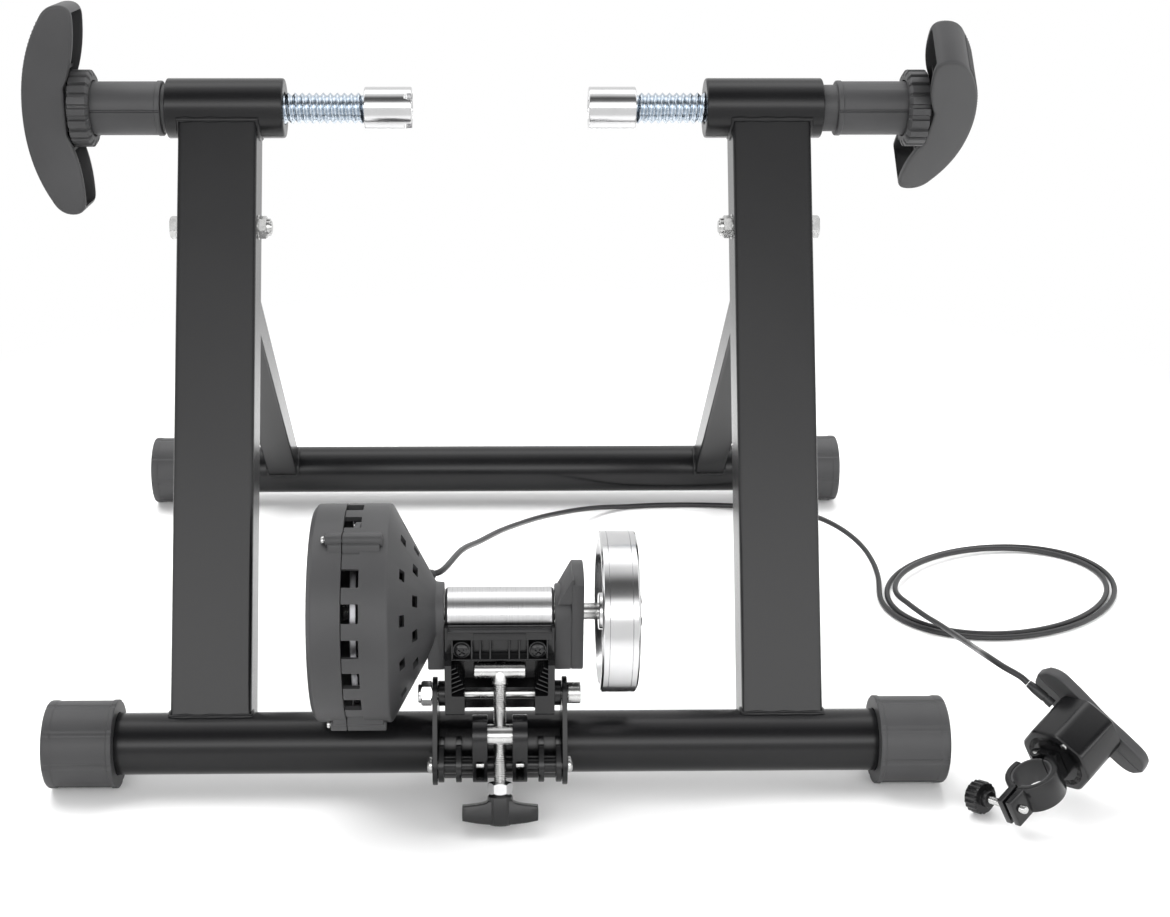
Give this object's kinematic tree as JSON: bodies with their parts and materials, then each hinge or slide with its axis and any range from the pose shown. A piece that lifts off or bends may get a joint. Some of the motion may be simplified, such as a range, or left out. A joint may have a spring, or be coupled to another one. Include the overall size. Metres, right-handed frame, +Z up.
{
  "type": "folding bicycle trainer stand",
  "caption": "Folding magnetic trainer stand for a bicycle's rear wheel: A-shaped tube frame, screw axle clamps, tilting roller with drum and flywheel, and a cable lever.",
  "frame": {"origin": "on the floor, under the middle of the box round everything but the free cable", "axes": "+X along the base tubes, from the drum side to the flywheel side; +Y from the front base tube to the rear one; +Z up"},
  "size_m": [0.7717, 0.5226, 0.446],
  "materials": {
    "frame_paint": "smooth black paint",
    "moulded_plastic": "satin dark grey moulding",
    "black_plastic": "glossy black moulding",
    "zinc": "zinc plated, slightly blue",
    "chrome": "bright chrome",
    "steel": "bright steel",
    "aluminium": "turned aluminium",
    "cable_jacket": "smooth black cable jacket"
  },
  "bodies": {
    "front_frame": {"front_base_tube": "frame_paint", "front_left_foot_cap": "moulded_plastic", "front_right_foot_cap": "moulded_plastic", "left_upright": "frame_paint", "right_upright": "frame_paint", "left_clamp_sleeve": "frame_paint", "right_clamp_sleeve": "frame_paint", "left_fold_bolt": "steel", "right_fold_bolt": "steel", "bracket_left_plate": "frame_paint", "bracket_right_plate": "frame_paint", "bracket_block": "black_plastic", "bracket_cross_bolt": "steel", "unit_pivot_bolt": "steel", "unit_pivot_nut": "steel", "remote_housing": "black_plastic", "remote_clamp_fixed": "black_plastic", "remote_clamp_pin": "steel", "cable_ferrule": "cable_jacket", "cable_run": "cable_jacket", "cable_loops": "cable_jacket", "cable_tail": "cable_jacket"},
    "rear_frame": {"rear_base_tube": "frame_paint", "rear_left_foot_cap": "moulded_plastic", "rear_right_foot_cap": "moulded_plastic", "left_rear_leg": "frame_paint", "right_rear_leg": "frame_paint"},
    "left_cup": {"left_axle_cup": "chrome"},
    "left_screw": {"left_clamp_screw": "zinc", "left_clamp_hub": "moulded_plastic", "left_lock_ring": "moulded_plastic", "left_handle": "moulded_plastic"},
    "right_cup": {"right_axle_cup": "chrome"},
    "right_screw": {"right_clamp_screw": "zinc", "right_clamp_hub": "moulded_plastic", "right_lock_ring": "moulded_plastic", "right_handle": "moulded_plastic"},
    "resistance_unit": {"roller_cradle": "black_plastic", "right_cheek": "moulded_plastic", "drum_back": "moulded_plastic", "drum_cover": "moulded_plastic", "drum_screw_1": "steel", "drum_screw_2": "steel", "drum_screw_3": "steel", "left_bearing": "steel", "right_bearing": "steel"},
    "rotor": {"roller": "aluminium", "roller_shaft": "steel", "eddy_disc": "aluminium", "flywheel": "chrome", "flywheel_nut": "steel"},
    "magnet_slide": {"magnet_carrier": "steel"},
    "barrel": {"barrel_nut": "steel"},
    "tension_bar": {"tension_head": "steel"},
    "tension_rod": {"tension_screw": "zinc", "tension_jam_nut": "steel", "tension_knob": "black_plastic"},
    "lever": {"remote_lever": "black_plastic"},
    "swing_jaw": {"remote_clamp_swing": "black_plastic"},
    "thumb_screw": {"remote_thumb_screw": "black_plastic"}
  },
  "joints": [
    {"name": "rear_fold", "type": "hinge", "parent": "front_frame", "child": "rear_frame", "pos_m": [-0.04816, -0.03109, 0.3105], "axis": [-1, 0, 0], "range_deg": [0, 64]},
    {"name": "left_clamp_advance", "type": "slide", "parent": "front_frame", "child": "left_cup", "axis": [1, 0, 0], "range_m": [-0.0295, 0.0023]},
    {"name": "left_clamp_turn", "type": "hinge", "parent": "left_cup", "child": "left_screw", "pos_m": [-0.22816, 0.00589, 0.379], "axis": [1, 0, 0], "range_deg": [-2340, 180]},
    {"name": "right_clamp_advance", "type": "slide", "parent": "front_frame", "child": "right_cup", "axis": [-1, 0, 0], "range_m": [-0.0295, 0.0089]},
    {"name": "right_clamp_turn", "type": "hinge", "parent": "right_cup", "child": "right_screw", "pos_m": [0.13184, 0.00589, 0.379], "axis": [-1, 0, 0], "range_deg": [-2340, 700]},
    {"name": "unit_tilt", "type": "hinge", "parent": "front_frame", "child": "resistance_unit", "pos_m": [-0.04666, -0.20591, 0.07], "axis": [1, 0, 0], "range_deg": [0, 15]},
    {"name": "roller_spin", "type": "hinge", "parent": "resistance_unit", "child": "rotor", "pos_m": [-0.04666, -0.19091, 0.1175], "axis": [1, 0, 0], "continuous": true},
    {"name": "magnet_shift", "type": "slide", "parent": "resistance_unit", "child": "magnet_slide", "axis": [-1, 0, 0], "range_m": [0, 0.0051]},
    {"name": "nut_swivel", "type": "hinge", "parent": "front_frame", "child": "barrel", "pos_m": [-0.04666, -0.22891, 0.0547], "axis": [1, 0, 0], "range_deg": [0, 6.05]},
    {"name": "screw_advance", "type": "slide", "parent": "barrel", "child": "tension_bar", "axis": [0, 0.4128, 0.9108], "range_m": [-0.00391, 0]},
    {"name": "knob_turn", "type": "hinge", "parent": "tension_bar", "child": "tension_rod", "pos_m": [-0.04666, -0.21291, 0.09], "axis": [0, 0.4128, 0.9108], "range_deg": [-1125.3, 0]},
    {"name": "lever_turn", "type": "hinge", "parent": "front_frame", "child": "lever", "pos_m": [0.31562, -0.20411, 0.04604], "axis": [0.7092, 0.6093, 0.3546], "range_deg": [0, 120]},
    {"name": "jaw_open", "type": "hinge", "parent": "front_frame", "child": "swing_jaw", "pos_m": [0.2812, -0.22304, 0.02897], "axis": [0.4389, 0.0121, -0.8985], "range_deg": [0, 15]},
    {"name": "thumb_turn", "type": "hinge", "parent": "front_frame", "child": "thumb_screw", "pos_m": [0.25889, -0.25285, 0.01767], "axis": [-0.5517, 0.7928, -0.2588], "range_deg": [-720, 0]}
  ],
  "couplings": [
    {"joint": "left_clamp_advance", "follows": "left_clamp_turn", "m_per_rad": 0.0007162},
    {"joint": "right_clamp_advance", "follows": "right_clamp_turn", "m_per_rad": 0.0007162},
    {"joint": "nut_swivel", "follows": "unit_tilt", "ratio": 0.39545},
    {"joint": "screw_advance", "follows": "unit_tilt", "m_per_rad": -0.014632},
    {"joint": "knob_turn", "follows": "unit_tilt", "ratio": -73.55},
    {"joint": "magnet_shift", "follows": "lever_turn", "m_per_rad": 0.002387}
  ]
}
